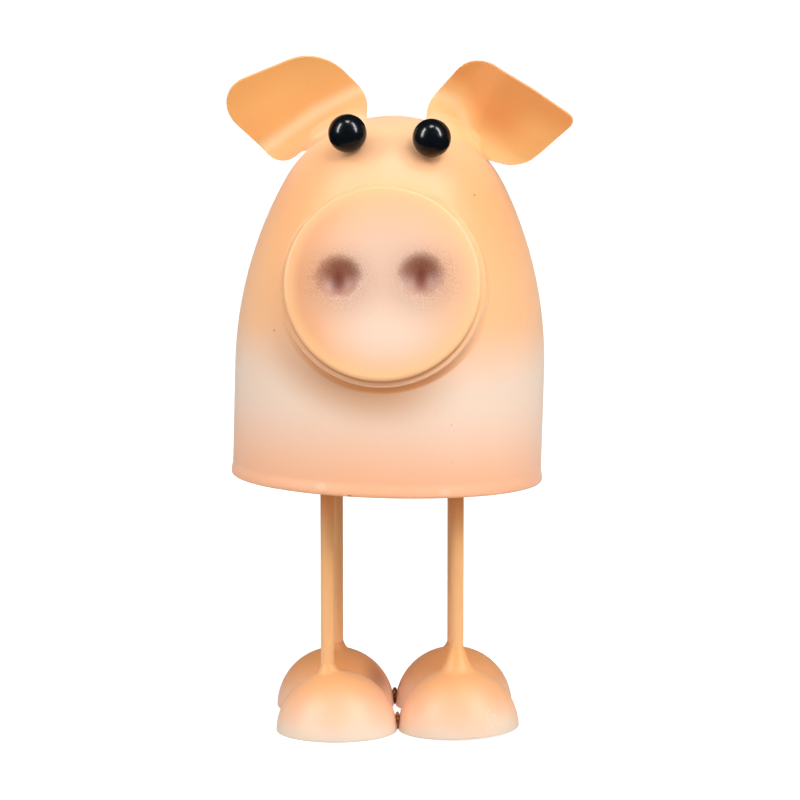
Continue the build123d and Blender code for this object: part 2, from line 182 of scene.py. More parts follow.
class PaintTones(bpy.types.PropertyGroup):
    """Tones of the sprayed paints, and of the light and shade painted on them."""

    rim: colour("Rim", "Peach at the bell's rim", "FFB88B")
    rose: colour("Rose", "Peach above the rim", "FFC5A0")
    pale: colour("Pale", "Fade between the peach and the cream", "FCD4BA")
    cream: colour("Cream", "Cream band round the bell", "F8DDC6")
    fading: colour("Fading", "Fade between the cream and the orange", "FCCDAA")
    side: colour("Side", "Orange above the cream band", "FFC087")
    head: colour("Head", "Orange of the head", "FFAF68")
    # Paler top of the head: partly paint, partly painted light from above
    top: colour("Top", "Top of the head", "FFD0A0")
    # Pale forehead: partly paint, partly a painted highlight from the light above
    forehead_and_highlight: colour("Forehead", "Pale forehead", "FFC596")
    # Painted tan shadow on the bell below the snout
    shade: colour("Shade", "Tan below the snout", "D69C6E")
    snout_edge: colour("Snout edge", "Orange along the snout's edge", "FFC08E")
    snout_left: colour("Snout left", "Deeper orange at the snout's left", "E8A373")
    snout_middle: colour("Snout middle", "Rose in the middle of the snout", "E9C3AB")
    # Painted highlight: a cream spot low on the snout's face
    snout_low_highlight: colour("Snout glow", "Cream glow low on the snout", "F6D8C2")
    # Yellow of the lid's rounded edge: partly paint, partly a painted highlight that also lightens the edge
    # where it faces down
    snout_lip_and_highlight: colour("Snout lip", "Yellow of the lid's rounded edge", "FFCA90")
    # Low on the lid, painted shade darkens the lid's side and painted light lightens its brim
    snout_crease: colour("Snout crease", "Tan side of the lid low in the shade", "D89462")
    lit_snout_brim: colour("Snout brim", "Light peach of the lid's brim low in the shade", "FFCBA2")
    scuff: colour("Scuff", "Pale scuffs and scratches", "FFEFDC")
    # Dark specks on the bell, and also the painted shadow on the rear left foot's inner side
    speck_and_shade: colour("Speck", "Dark specks", "8A4A28")
    nostril: colour("Nostril", "Brown of the nostrils", "7E301A")
    # Darkest brown deep in the nostrils: partly paint, partly painted shade in the dimple's hollow
    nostril_deep_and_shade: colour("Nostril deep", "Darkest brown in the nostrils", "6A1C0A")
    # Painted highlights: lighter brown lobes low in the nostrils
    nostril_lobe_highlight: colour("Nostril low", "Lighter brown low in the nostrils", "BC8A74")
    overspray: colour("Overspray", "Loose specks round the nostrils", "965A3A")
    ear_root: colour("Ear root", "Root of the ears", "FFC07C")
    ear_pale: colour("Right ear root", "Root of the right ear", "FFCB86")
    # Painted shade along the seam between the snout and the bell, on its lower side
    seam: colour("Snout seam", "Tan line between the snout and the bell", "E49A60")
    # Pale line along the ear's fold: partly paint, partly a painted highlight on the bend
    ear_line_and_highlight: colour("Ear line", "Pale line at the fold", "FFDAA6")
    ear_left: colour("Left ear", "Flap of the left ear", "FFBD72")
    ear_left_tip: colour("Left ear tip", "Tip of the left ear", "F8B064")
    ear_right: colour("Right ear", "Flap of the right ear", "F2A259")
    ear_right_low: colour("Right ear low", "Lower part of the right ear", "FFC276")
    leg_low: colour("Leg low", "Legs near the feet", "FFC48A")
    leg_middle: colour("Leg middle", "Middle of the legs", "FFBF7E")
    # Deeper orange of the legs under the rim: partly paint, partly painted shade under the bell
    leg_top_and_shade: colour("Leg top", "Legs under the rim", "FF8430")
    foot_rim: colour("Foot rim", "Cream at the feet's rim", "FBE9D6")
    foot_low: colour("Foot low", "Peach above the rim", "FFD3B2")
    foot_middle: colour("Foot middle", "Middle of the feet", "FFB989")
    foot_crown: colour("Foot crown", "Crown of the feet", "FFB66C")
    # Rear feet, darker than the front ones: partly paint, partly painted shade under the bell and behind the
    # front feet
    rear_low_shaded: colour("Rear foot low", "Lower part of the rear feet", "F5C8AB")
    rear_crown_shaded: colour("Rear foot crown", "Crown of the rear feet", "EA9C5A")
    eye: colour("Eye", "Black of the eyes", "0B1015")
    # Painted brown reflection of the head on the underside of the eyes
    eye_low_reflection: colour("Eye low", "Brown at the underside of the eyes", "33100A")


class StageSettings(bpy.types.PropertyGroup):
    """Camera, floor and light."""

    distance: length("Distance", "Camera in front of the feet's middle", 1.3)
    height: length("Height", "Camera above the floor", 0.2787)
    across: length("Across", "Camera right of the feet's middle", 0.00144)
    pitch: angle("Pitch", "Camera's look down", 6.93)
    lens: number("Lens", "Focal length in millimetres", 157.5)
    world: number("Room light", "Strength of the white room", 0.6)
    key: power("Front light", "Power of the light in front and above", 8.8)
    glint: number("Glint", "Brightness of the mirrored lights in the eyes", 62)
    left: power("Left light", "Power of the light at the left", 4.7)
    right: power("Right light", "Power of the light at the right", 6.2)
    paper: number("Paper glow", "Own light of the white paper", 0.8)


# Modelling steps


def deselect_all():
    """Nothing is selected, so an operator acts on the new piece alone."""
    bpy.ops.object.select_all(action="DESELECT")


def set_mode(mode):
    """Turns the edit or the object mode on."""
    bpy.ops.object.mode_set(mode=mode)


def choose(action):
    """Selects or deselects the whole mesh in edit mode."""
    bpy.ops.mesh.select_all(action=action)


def new_piece(name):
    """Empty mesh in edit mode."""
    deselect_all()
    bpy.ops.mesh.primitive_plane_add(size=0.01, location=(0, 0, 0))
    piece = bpy.context.object
    piece.name = piece.data.name = name
    set_mode("EDIT")
    choose("SELECT")
    bpy.ops.mesh.delete(type="VERT")
    return piece


def draw_line(points):
    """Line of corners, each extruded from the one before."""
    points = [Vector(point) for point in points]
    choose("DESELECT")
    bpy.ops.mesh.primitive_plane_add(size=0.001, location=points[0])
    bpy.ops.mesh.merge(type="CENTER")
    for here, there in zip(points, points[1:]):
        bpy.ops.mesh.extrude_region_move(TRANSFORM_OT_translate={"value": there - here})


def pick(piece, test):
    """Selects the corners that pass a test of their place, in edit mode."""
    choose("DESELECT")
    bpy.ops.mesh.select_mode(type="VERT")
    set_mode("OBJECT")
    for corner in piece.data.vertices:
        corner.select = test(corner.co)
    set_mode("EDIT")


def pick_nearest(piece, place):
    """Selects the one corner that is closest to a place."""
    set_mode("OBJECT")
    set_mode("EDIT")
    place = Vector(place)
    nearest = min(piece.data.vertices, key=lambda corner: (corner.co - place).length_squared).co.copy()
    pick(piece, lambda co: (co - nearest).length_squared < 1e-14)


def pick_late(piece, test):
    """Selects the corners that pass a test of their count from the last one, in edit mode."""
    set_mode("OBJECT")
    corners = piece.data.vertices
    for corner in corners:
        corner.select = test(len(corners) - corner.index)
    set_mode("EDIT")


def pull_around(move, falloff, reach):
    """Moves the selected corner up or down, and those around it less and less."""
    bpy.ops.transform.translate(
        value=(0, 0, move),
        use_proportional_edit=True,
        proportional_edit_falloff=falloff,
        proportional_size=reach,
    )


def draw_ring(piece, points):
    """Closed line of corners."""
    draw_line(points)
    pick_late(piece, lambda late: late in (1, len(points)))
    bpy.ops.mesh.edge_face_add()


def close_skin():
    """Merges doubled corners and points the faces outwards."""
    choose("SELECT")
    bpy.ops.mesh.remove_doubles(threshold=1e-6)
    bpy.ops.mesh.normals_make_consistent(inside=False)
    choose("DESELECT")


def spun(name, outline, steps):
    """New piece spun about the Z axis from a profile of (across, up)."""
    piece = new_piece(name)
    draw_line([(across, 0, up) for across, up in outline])
    choose("SELECT")
    bpy.ops.mesh.spin(steps=steps, angle=2 * pi, center=(0, 0, 0), axis=(0, 0, 1))
    close_skin()
    return piece


def bridge_pair(piece, here, there):
    """Skin between two closed rings."""
    draw_ring(piece, here)
    draw_ring(piece, there)
    pick_late(piece, lambda late: late <= len(here) + len(there))
    bpy.ops.mesh.bridge_edge_loops()


def bridge_rings(piece, rings):
    """Skin through a row of closed rings, with a face over each end."""
    for ring in rings:
        draw_ring(piece, ring)
    choose("SELECT")
    bpy.ops.mesh.bridge_edge_loops()
    bpy.ops.mesh.select_mode(type="EDGE")
    choose("DESELECT")
    bpy.ops.mesh.select_non_manifold(extend=False)
    bpy.ops.mesh.edge_face_add()
    bpy.ops.mesh.select_mode(type="VERT")
    close_skin()


def only(piece):
    """The piece alone is selected and active, in object mode."""
    if bpy.context.object and bpy.context.object.mode != "OBJECT":
        set_mode("OBJECT")
    deselect_all()
    piece.select_set(True)
    bpy.context.view_layer.objects.active = piece


def stand(piece, pose):
    """Moves a piece by a pose and puts its place in its mesh."""
    only(piece)
    piece.matrix_world = pose
    bpy.ops.object.transform_apply(location=True, rotation=True, scale=True)


def smooth(piece, sharp=50):
    """Smooth shading up to an angle between faces."""
    only(piece)
    bpy.ops.object.shade_smooth_by_angle(angle=radians(sharp))
    return piece


def apply_modifier(piece, kind, **settings):
    """Adds a modifier with its settings and applies it."""
    only(piece)
    modifier = piece.modifiers.new(kind.title(), kind)
    for name, value in settings.items():
        setattr(modifier, name, value)
    bpy.ops.object.modifier_apply(modifier=modifier.name)


def round_edges(piece, width, segments, sharp):
    """Rounds the edges that are sharper than an angle."""
    limit = {"limit_method": "ANGLE", "angle_limit": radians(sharp)}
    apply_modifier(piece, "BEVEL", width=width, segments=segments, **limit)


def hand_over(piece, slot, paint, *nodes):
    """A finished piece rides on the body, stands for its nodes and takes its paint."""
    only(piece)
    deselect_all()
    piece.data.materials.clear()
    piece.data.materials.append(paint)
    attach(piece, "root")
    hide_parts(*nodes)


def spread(start, finish, steps):
    """Evenly spaced values from start to finish."""
    return [start + (finish - start) * step / steps for step in range(steps + 1)]


def arc(centre, radius, start, finish, steps):
    """Points of a profile on an arc about a centre, from one turn to another."""
    turns = spread(start, finish, steps)
    return [(centre[0] + radius * cos(turn), centre[1] + radius * sin(turn)) for turn in turns]


def circle(steps):
    """Turns of a whole circle, evenly spaced."""
    return spread(0, 2 * pi, steps)[:-1]


def step_up(value, start, finish):
    """Smooth step from 0 at start to 1 at finish."""
    share = max(0, min(1, (value - start) / (finish - start)))
    return share * share * (3 - 2 * share)


def eased(share):
    """A share whose steps are closer together near 0 and 1."""
    return 0.5 - 0.5 * cos(pi * share)


def middle_of(node):
    """Middle of a node's box."""
    low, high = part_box(node)
    return (low + high) / 2


def feet_middle():
    """Middle of the four feet on the floor."""
    places = [middle_of("foot_" + name) for name in FEET]
    return Vector((sum(place.x for place in places) / 4, sum(place.y for place in places) / 4, 0))


# Bell


def bell_sizes():
    return bpy.context.scene.pig_bell


def dome_centre():
    """Height of the dome's centre above the rim."""
    return bell_sizes().height - bell_sizes().dome


def shoulder():
    """Radius of the shoulder's arc and its end, as a share of that radius."""
    bell = bell_sizes()
    rise = dome_centre() - bell.wall
    radius = (bell.radius**2 - bell.dome**2 + rise**2) / (2 * (bell.radius - bell.dome))
    return radius, rise / (radius - bell.dome)


def bell_radius(height):
    """Outer radius of the bell at a height above its rim."""
    bell = bell_sizes()
    radius, share = shoulder()
    if height <= bell.wall:
        return bell.radius
    if height < dome_centre() + bell.dome * share:
        return bell.radius - radius + sqrt(radius**2 - (height - bell.wall) ** 2)
    return sqrt(max(bell.dome**2 - (height - dome_centre()) ** 2, 0))


def bell_pose():
    """Where the bell stands: shifted, leaned and turned over its feet."""
    bell = bell_sizes()
    place = feet_middle() + Vector((-bell.shift, 0, bell.rim))
    lean = Matrix.Rotation(bell.lean, 4, "Y")
    turn = Matrix.Rotation(-bell.turn, 4, "Z")
    return Matrix.Translation(place) @ lean @ turn


def hem_top():
    """Height above the rim at which the rolled edge runs out into the wall."""
    return 1.3 * bell_sizes().hem


def bell_skin(inset):
    """Profile of the bell's skin from the hem to the top, moved inwards."""
    bell = bell_sizes()
    radius, share = shoulder()
    lowest = hem_top() + bell.sheet * 0.4
    line = [(bell.radius - inset, up) for up in spread(lowest, bell.wall, 14)[:-1]]
    line += arc((bell.radius - radius, bell.wall), radius - inset, 0, asin(share), 30)[:-1]
    line += arc((0, dome_centre()), bell.dome - inset, asin(share), pi / 2, 30)[:-1]
    return line + [(0, bell.height - inset)]


def hem_outline():
    """Profile of the rolled edge, from the inner wall round to the outer one."""
    bell = bell_sizes()
    outer, thick = bell.radius + bell.hem_bulge, 2 * bell.sheet
    inner, corner = outer - thick, 0.9 * bell.sheet
    low = arc((inner + corner, corner), corner, pi, 1.5 * pi, 6)
    low += arc((outer - corner, corner), corner, 1.5 * pi, 2 * pi, 6)
    start, finish = 0.35 * bell.hem, hem_top()
    rises = spread(start, finish, 10)
    top = [(outer - (outer - bell.radius) * step_up(up, start, finish), up) for up in rises]
    return [(inner, bell.hem - 0.3 * bell.sheet)] + low + top


def make_bell():
    """Spun bell of sheet, open at the rim, with its rolled hem."""
    bell = bell_sizes()
    outline = bell_skin(bell.sheet)[::-1] + hem_outline() + bell_skin(0)
    piece = spun("bell", outline, bell.steps)
    stand(piece, bell_pose())
    return smooth(piece)


# Snout

# How far behind the lid the tube ends, and how far its weld stays from it
TUBE_GAP = 0.00005
WELD_GAP = 0.00007


def snout_sizes():
    return bpy.context.scene.pig_snout


def snout_pose():
    """Plane of the brim's underside, outwards along its Z, in the bell's own frame."""
    snout = snout_sizes()
    height = bell_sizes().height - snout.drop
    low, high = bell_radius(height - snout.radius), bell_radius(height + snout.radius)
    tilt = atan2(low - high, 2 * snout.radius)
    out = Vector((0, -cos(tilt), sin(tilt)))
    place = Vector((0, -(low + high) / 2, height)) + out * snout.stand
    across, up = Vector((1, 0, 0)), Vector((0, sin(tilt), cos(tilt)))
    pose = Matrix((across, up, out)).transposed().to_4x4()
    pose.translation = place
    return pose


def lid_face():
    """Radius of the lid without its brim."""
    return snout_sizes().radius - snout_sizes().brim


def lid_height(radius):
    """Height of the lid's face, part of a large ball, above the brim's underside."""
    snout = snout_sizes()
    ball = (lid_face() ** 2 + snout.crown**2) / (2 * snout.crown)
    return snout.depth + snout.crown - ball + sqrt(ball**2 - radius**2)


def lid_side(inset, corner, lowest):
    """Profile of the lid from the middle over its pressed edge and down its side."""
    face = lid_face() - inset
    line = [(across, lid_height(across) - inset) for across in spread(0, face - corner, 46)[:-1]]
    top = lid_height(face - corner) - inset
    line += arc((face - corner, top - corner), corner, pi / 2, 0, 8)
    return line + [(face, lowest + 0.4 * bell_sizes().sheet), (face, lowest)]


def lid_outline():
    """Closed profile of the lid with its brim."""
    snout, sheet = snout_sizes(), bell_sizes().sheet
    face, corner = lid_face(), 0.4 * sheet
    outer = lid_side(0, snout.edge_round, 1.3 * sheet)[:-1]
    outer += [(face + 0.1 * sheet, 1.1 * sheet), (face + 0.35 * sheet, sheet)]
    brim = arc((snout.radius - corner, sheet - corner), corner, pi / 2, 0, 5)
    brim += arc((snout.radius - corner / 2, corner / 2), corner / 2, 0, -pi / 2, 3)
    inner = lid_side(sheet, snout.edge_round - sheet / 2, 0)
    return outer + brim + inner[::-1]


def nostril_places():
    """Middles of the two nostrils on the lid."""
    snout = snout_sizes()
    for side in SIDES.values():
        reach = side * snout.nostril_spacing / 2
        across = reach * cos(snout.nostril_turn) - snout.nostril_shift
        yield across, snout.nostril_rise + reach * sin(snout.nostril_turn)


def make_snout_lid():
    """Pressed round lid with a brim and two soft dimples."""
    snout = snout_sizes()
    piece = spun("snout_lid", lid_outline(), bell_sizes().steps)
    for across, up in nostril_places():
        pick_nearest(piece, (across, up, lid_height(sqrt(across**2 + up**2))))
        pull_around(-0.8 * snout.nostril_depth, "INVERSE_SQUARE", snout.nostril_radius)
        pull_around(-0.2 * snout.nostril_depth, "SMOOTH", snout.nostril_reach)
        middle = Vector((across, up))
        pick(piece, lambda co: abs((co.xy - middle).length - snout.nostril_radius) < snout.nostril_radius / 4)
        bpy.ops.mesh.vertices_smooth(factor=0.5, repeat=14)
    stand(piece, bell_pose() @ snout_pose())
    return smooth(piece)


def skin_height(pose, across, up):
    """Height over the lid's plane, below zero, at which the bell's skin lies behind a place on it."""
    near, far, halvings = -0.03, 0.03, 40
    for _ in range(halvings):
        middle = (near + far) / 2
        point = pose @ Vector((across, up, middle))
        outside = sqrt(point.x**2 + point.y**2) > bell_radius(point.z)
        near, far = (near, middle) if outside else (middle, far)
    return (near + far) / 2


def make_snout_tube():
    """Short tube behind the lid with a hollow weld where it meets the bell."""
    snout, bell = snout_sizes(), bell_sizes()
    pose = snout_pose()
    piece = new_piece("snout_tube")

    def ring(radius, lift=1.0, highest=1.0):
        """Ring of one radius, lifted off the bell's skin by some metres but kept below a height."""
        places = [(radius * sin(turn), radius * cos(turn)) for turn in circle(TUBE_STEPS)]
        return [(across, up, min(skin_height(pose, across, up) + lift, highest)) for across, up in places]

    outer, inner = snout.radius - 0.3 * bell.sheet, snout.radius - bell.sheet
    clear, sink = 0.0001, 0.0003
    rings = [ring(inner, clear), ring(inner, highest=-TUBE_GAP), ring(outer, highest=-TUBE_GAP)]
    for turn in spread(0, pi / 2, 5):
        flare, lift = snout.weld * (1 - cos(turn)), snout.weld * (1 - sin(turn))
        rings.append(ring(outer + flare, lift, -WELD_GAP))
    rings.append(ring(outer + snout.weld, -sink))
    for here, there in zip(rings, rings[1:] + rings[:1]):
        bridge_pair(piece, here, there)
    close_skin()
    stand(piece, bell_pose() @ pose)
    return smooth(piece)


# Ears

# Corners of an ear seen from the front, as shares of the reach and the rise,
# each with its corner radius as a share of the rise
LEFT_EAR = (
    (0.168, 0.635, 0.28),
    (0.4427, 1.0823, 0.457),
    (1.0975, 0.6172, 0.264),
    (0.667, -0.067, 0.2),
    (0.546, 0.099, 0.025),
    (0.42, 0.13, 0.0),
    (0.30, -0.2, 0.0),
    (0.174, 0.2, 0.0),
)
RIGHT_EAR = (
    (0.178, 0.586, 0.33),
    (0.444, 1.076, 0.292),
    (0.798, 0.757, 1.0),
    (1.065, 0.482, 0.08),
    (0.742, -0.005, 0.345),
    (0.492, 0.095, 0.0),
    (0.30, -0.2, 0.0),
    (0.179, 0.2, 0.0),
)

# Fold line: between two places along it, its distance from the dome's centre goes from far to near
LEFT_FOLD = (0.0, 0.028, 0.0558, 0.0524)
RIGHT_FOLD = (-0.007, 0.008, 0.0560, 0.0482)

EARS = {"left": (LEFT_EAR, LEFT_FOLD), "right": (RIGHT_EAR, RIGHT_FOLD)}

# Size of the weld where it runs out at the ends of the root, and how deep it lies in the dome
THIN_WELD = 0.0006
WELD_SINK = 0.00008

# Distances from the fold line at which the root starts to lean back and has done so
LEAN_START, LEAN_END = -0.010, -0.004

# Place along the fold where the flap is not cupped, and how far beyond the fold the cup is whole
CUP_MIDDLE, CUP_REACH = 0.008, 0.018


def ear_sizes():
    return bpy.context.scene.pig_ears


def ear_axes(side):
    """Directions away from the dome's centre and along the fold."""
    turn = ear_sizes().root_angle
    return Vector((side * sin(turn), 0, cos(turn))), Vector((side * cos(turn), 0, -sin(turn)))


def round_corners(corners):
    """Closed outline with each corner replaced by an arc of its radius."""
    outline = []
    for place, (corner, radius) in enumerate(corners):
        before, after = corners[place - 1][0], corners[(place + 1) % len(corners)][0]
        if radius == 0:
            outline.append(corner)
            continue
        back, ahead = (before - corner).normalized(), (after - corner).normalized()
        half = acos(max(-1, min(1, back.dot(ahead)))) / 2
        centre = corner + (back + ahead).normalized() * (radius / sin(half))
        first, last = corner + back * (radius / tan(half)), corner + ahead * (radius / tan(half))
        for share in spread(0, 1, 16):
            spoke = (first - centre).slerp(last - centre, share)
            outline.append(centre + spoke.normalized() * radius)
    return outline


def ear_outline(shares):
    """Ear's outline as (away from the dome's centre, along the fold) for the root's angle."""
    ear, bell = ear_sizes(), bell_sizes()
    low = bell.height + ear.top - ear.rise
    out, across = ear_axes(1)
    corners = []
    for right, up, turn in shares:
        place = Vector((right * ear.reach, 0, low + up * ear.rise - dome_centre()))
        corners.append((Vector((place.dot(out), place.dot(across), 0)), turn * ear.rise))
    return round_corners(corners)


def ear_reach(outline, along):
    """Lowest and highest distance from the dome's centre at a place along the fold."""
    found = []
    for here, there in zip(outline, outline[1:] + outline[:1]):
        if (here.y - along) * (there.y - along) <= 0 and abs(here.y - there.y) > 1e-9:
            share = (along - here.y) / (there.y - here.y)
            found.append(here.x + (there.x - here.x) * share)
    return min(found), max(found)


def fold_place(fold, along):
    """Distance of the fold line from the dome's centre at a place along it."""
    first, last, far, near = fold
    return far + (near - far) * step_up(along, first, last)


def bend_slope(distance):
    """Forward slope of the sheet at a distance beyond the fold line."""
    ear = ear_sizes()
    bent = step_up(distance, -ear.bend_start, ear.bend_end)
    back = step_up(distance, LEAN_START, LEAN_END) * (1 - bent)
    return tan(ear.bend_angle) * bent - tan(ear.lean_back) * back


def bend_depth(fold, away, along):
    """How far forward the bent and cupped sheet lies."""
    ear, root = ear_sizes(), bell_sizes().dome
    line = fold_place(fold, along)
    steps = 30
    step = (away - root) / steps
    depth = sum(bend_slope(root + step * (place + 0.5) - line) for place in range(steps)) * step
    cup = ear.cup * (along - CUP_MIDDLE) ** 2 * step_up(away - line, 0, CUP_REACH)
    return depth + cup


def ear_point(side, fold, away, along, lift):
    """Place on an ear in the bell's frame, lifted off its middle surface to the front."""
    out, across = ear_axes(side)
    step = 0.0002
    depth = bend_depth(fold, away, along)
    rise = (bend_depth(fold, away + step, along) - bend_depth(fold, away - step, along)) / (2 * step)
    turn = (bend_depth(fold, away, along + step) - bend_depth(fold, away, along - step)) / (2 * step)
    front = -(out * rise + across * turn + Vector((0, 1, 0))).normalized()
    middle = Vector((0, -ear_sizes().forward - depth, dome_centre())) + out * away + across * along
    return middle + front * lift


def root_point(side, along, face, turn, size):
    """Place on the hollow weld between the dome and a face of the sheet."""
    bell = bell_sizes()
    lift = bell.sheet / 2 + size * (1 - sin(turn))
    depth = ear_sizes().forward + face * lift
    away = sqrt(max((bell.dome - WELD_SINK) ** 2 - along**2 - depth**2, 0)) + size * (1 - cos(turn))
    out, across = ear_axes(side)
    return Vector((0, -depth, dome_centre())) + out * away + across * along


def ear_side(side, fold, along, low, high, face):
    """Points up one face of the ear at a place along the fold."""
    ear, bell = ear_sizes(), bell_sizes()
    lift, gap = face * bell.sheet / 2, 0.0001
    fading = step_up(abs(along), ear.weld_span - 0.002, ear.weld_span + 0.003)
    size = THIN_WELD + (ear.weld - THIN_WELD) * (1 - fading)
    if low < sqrt(max(bell.dome**2 - along**2 - ear.forward**2, 0)):
        points = [root_point(side, along, face, turn, size) for turn in spread(0, pi / 2, 5)]
        start = sqrt(bell.dome**2 - along**2 - ear.forward**2) + size + 3 * gap
    else:
        points = [ear_point(side, fold, low + gap * step, along, lift) for step in range(6)]
        start = low + 8 * gap
    start = min(start, high - 2 * gap)
    for share in spread(0, 1, 25):
        away = start + (high - start) * eased(share) ** 0.9
        points.append(ear_point(side, fold, away, along, lift))
    return points


def make_ear(name):
    """Bent leaf of sheet whose root runs out into the dome."""
    side, (shares, fold) = SIDES[name], EARS[name]
    outline = ear_outline(shares)
    first = min(point.y for point in outline if point.x > bell_sizes().dome)
    last = max(point.y for point in outline)
    rings = []
    for share in spread(0.012, 0.988, 44):
        along = first + (last - first) * eased(share)
        low, high = ear_reach(outline, along)
        front, back = (ear_side(side, fold, along, low, high, face) for face in (1, -1))
        rings.append(front + back[::-1])
    piece = new_piece("ear_leaf_" + name)
    bridge_rings(piece, rings)
    round_edges(piece, ear_sizes().edge_round, 2, 55)
    stand(piece, bell_pose())
    return smooth(piece, 60)


# Eyes


def eye_sizes():
    return bpy.context.scene.pig_eyes


def eye_distance():
    """Distance of an eye's middle from the dome's centre."""
    return bell_sizes().dome + eye_sizes().gap + eye_sizes().radius


def eye_axis(across, drop):
    """Unit vector from the dome's centre through an eye."""
    up = bell_sizes().dome - drop
    return Vector((across, -sqrt(max(eye_distance() ** 2 - across**2 - up**2, 0)), up)).normalized()


def eye_outline():
    """Profile of a ball with a blind hole for its pin."""
    eye = eye_sizes()
    start = -acos(eye.hole / eye.radius)
    line = [(0, eye.grip - eye.radius), (eye.hole, eye.grip - eye.radius)]
    line += arc((0, 0), eye.radius, start, pi / 2, 40)[:-1]
    return line + [(0, eye.radius)]


def make_eye(name, axis):
    """Glossy ball with the hole for its pin."""
    piece = spun(name, eye_outline(), EYE_STEPS)
    place = Vector((0, 0, dome_centre())) + axis * eye_distance()
    turn = axis.to_track_quat("Z", "Y").to_matrix().to_4x4()
    stand(piece, bell_pose() @ Matrix.Translation(place) @ turn)
    return smooth(piece)


# Legs, feet and tail

# How far an unfinished neck is pulled up from the crown and over what radius
NECKS = {
    "front_left": (0.0030, 0.0040),
    "front_right": (0.0085, 0.0062),
    "rear_left": (0.0025, 0.0038),
    "rear_right": (0.0025, 0.0038),
}

# Gap between a leg and the hole in its foot
LEG_GAP = 0.00004

# Tilt of each foot in degrees
TILTS = {"front_left": 0, "front_right": 2.2, "rear_left": 0, "rear_right": 0}


def leg_sizes():
    return bpy.context.scene.pig_legs


def make_leg(name):
    """Round rod from its foot to the pan, with a small chamfer at both ends."""
    rod, chamfer = leg_sizes().rod, 0.0002
    end = rod - chamfer
    low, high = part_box("leg_" + name)
    line = [(0, low.z), (end, low.z)]
    line += [(rod, up) for up in spread(low.z + chamfer, high.z - chamfer, 24)]
    line += [(end, high.z), (0, high.z)]
    piece = spun("leg_rod_" + name, line, LEG_STEPS)
    middle = (low + high) / 2
    stand(piece, Matrix.Translation((middle.x, middle.y, 0)))
    return smooth(piece, 40)


def foot_outline():
    """Closed profile of a hollow half ball with a rounded rim."""
    leg = leg_sizes()
    inner, corner, steps = leg.foot - leg.sheet, leg.rim_round, 52
    rise = asin(corner / leg.foot)
    outer = arc((0, 0), leg.foot, pi / 2, rise, steps)[1:]
    rim = [(leg.foot - corner * 0.3, corner * 0.3), (leg.foot - corner, 0)]
    rim += [(inner + corner, 0), (inner + corner * 0.3, corner * 0.3)]
    inside = arc((0, 0), inner, rise, pi / 2, steps)[:-1]
    return [(0, leg.foot)] + outer + rim + inside + [(0, inner)]


def foot_place(name):
    """Middle of a foot's ball."""
    middle = middle_of("foot_" + name)
    return Vector((middle.x, middle.y, leg_sizes().foot * sin(radians(TILTS[name]))))


def make_foot(name):
    """Hollow half ball whose crown is drawn up round its leg."""
    leg = leg_sizes()
    piece = spun("foot_dome_" + name, foot_outline(), leg.foot_steps)
    crown, axis = foot_place(name), middle_of("leg_" + name)
    stand(piece, Matrix.Translation(crown) @ Matrix.Rotation(-radians(TILTS[name]), 4, "Y"))
    top = crown.z + sqrt(leg.foot**2 - (axis - crown).xy.length_squared)
    rise, reach = NECKS[name]
    size = reach * 1.25
    pull = (crown.z + leg.foot + rise - top) / (1 - leg.rod / size) ** 2
    pick_nearest(piece, (axis.x, axis.y, top))
    pull_around(pull, "SHARP", size)
    set_mode("OBJECT")
    drill_foot(piece, axis)
    return smooth(piece)


def drill_foot(piece, axis):
    """Cuts the hole for the leg."""
    deselect_all()
    radius, place = leg_sizes().rod + LEG_GAP, (axis.x, axis.y, 0.05)
    bpy.ops.mesh.primitive_cylinder_add(vertices=64, radius=radius, depth=0.08, location=place)
    drill = bpy.context.object
    apply_modifier(piece, "BOOLEAN", operation="DIFFERENCE", object=drill, solver="EXACT")
    bpy.data.objects.remove(drill)


def tail_line():
    """Centre line of the curl, in the bell's frame."""
    leg = leg_sizes()
    wall, clear, inside = bell_radius(leg.tail_height), 0.001, 0.006
    start = Vector((0, wall + leg.loop + leg.wire + clear, leg.tail_height))
    inner = Vector((0, wall - inside, leg.tail_height))
    line = spread(inner, start, 8)[:-1]
    whole = 2.5 * pi
    for turn in spread(0, whole, 60):
        radius = leg.loop + (leg.tip_loop - leg.loop) * turn / whole
        across = leg.pitch / (2 * pi) * turn * min(1, turn / (pi / 2))
        line.append(start + Vector((across, radius * sin(turn), leg.loop - radius * cos(turn))))
    way = (line[-1] - line[-2]).normalized()
    return line + [line[-1] + way * leg.wire * 2 * step / 3 for step in range(1, 4)]


def make_tail():
    """One curl of painted wire with a rounded tip."""
    wire, line = leg_sizes().wire, tail_line()
    side = Vector((1, 0, 0))
    rings = []
    for before, point, after in zip(line[:1] + line, line, line[1:] + line[-1:]):
        way = (after - before).normalized()
        side = (side - way * side.dot(way)).normalized()
        other = way.cross(side)
        rings.append([point + (side * cos(turn) + other * sin(turn)) * wire for turn in circle(WIRE_STEPS)])
    piece = new_piece("tail_curl")
    bridge_rings(piece, rings)
    round_edges(piece, wire * 0.55, 4, 60)
    stand(piece, bell_pose())
    return smooth(piece, 60)


def make_tack(name):
    """Lumpy weld bead between two feet."""
    low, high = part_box(name)
    low.z, high.z = low.z / 3, high.z - low.z / 2
    piece = new_piece(name + "_bead")
    bpy.ops.mesh.primitive_ico_sphere_add(subdivisions=4, radius=1, location=(0, 0, 0))
    choose("SELECT")
    bpy.ops.transform.vertex_random(offset=0.12, uniform=0.2, seed=len(name))
    bpy.ops.mesh.vertices_smooth(factor=0.5, repeat=2)
    bpy.ops.transform.resize(value=(high - low) * 0.5, center_override=(0, 0, 0))
    bpy.ops.transform.translate(value=(low + high) / 2)
    close_skin()
    return smooth(piece, 60)


# Paint

